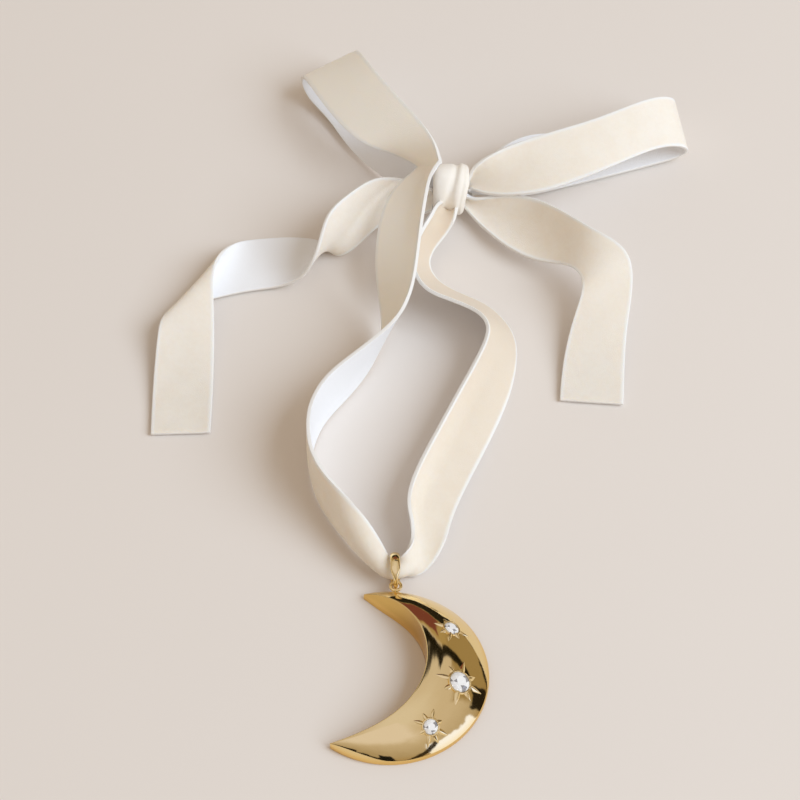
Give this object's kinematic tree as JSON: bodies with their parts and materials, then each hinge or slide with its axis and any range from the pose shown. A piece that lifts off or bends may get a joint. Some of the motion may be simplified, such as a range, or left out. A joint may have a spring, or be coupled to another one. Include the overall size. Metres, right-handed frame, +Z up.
{
  "type": "crescent moon ornament",
  "caption": "Domed gold crescent ornament with star-set crystals, hung from a bail ring on a velvet ribbon tied in a bow.",
  "frame": {"origin": "middle of the whole ornament's outline, on the table that it lies on", "axes": "+Z up from the table, through the crescent's face; +Y from the crescent to the bow; +X to the crescent's outer curve"},
  "size_m": [0.1436, 0.2228, 0.0244],
  "materials": {
    "gold": "mirror polished, pale yellow",
    "crystal": "clear, faceted",
    "velvet": "cream velvet pile with a smooth white back"
  },
  "bodies": {
    "ribbon": {"ribbon_hanging_loop": "velvet", "ribbon_left_loop": "velvet", "ribbon_right_loop": "velvet", "ribbon_left_tail": "velvet", "ribbon_right_tail": "velvet", "ribbon_knot": "velvet"},
    "ring": {"bail_ring": "gold"},
    "moon": {"moon_casting": "gold", "moon_back_plate": "gold", "crystal_top": "crystal", "crystal_middle": "crystal", "crystal_bottom": "crystal"}
  },
  "joints": [
    {"name": "ring_swing", "type": "hinge", "parent": "ribbon", "child": "ring", "pos_m": [-0.00868, -0.0589, 0.00465], "axis": [-0.9994, -0.0349, 0], "range_deg": [-30, 100]},
    {"name": "moon_swing", "type": "hinge", "parent": "ring", "child": "moon", "pos_m": [-0.00855, -0.06276, 0.0036], "axis": [0, 0, 1], "range_deg": [-40, 40]}
  ]
}
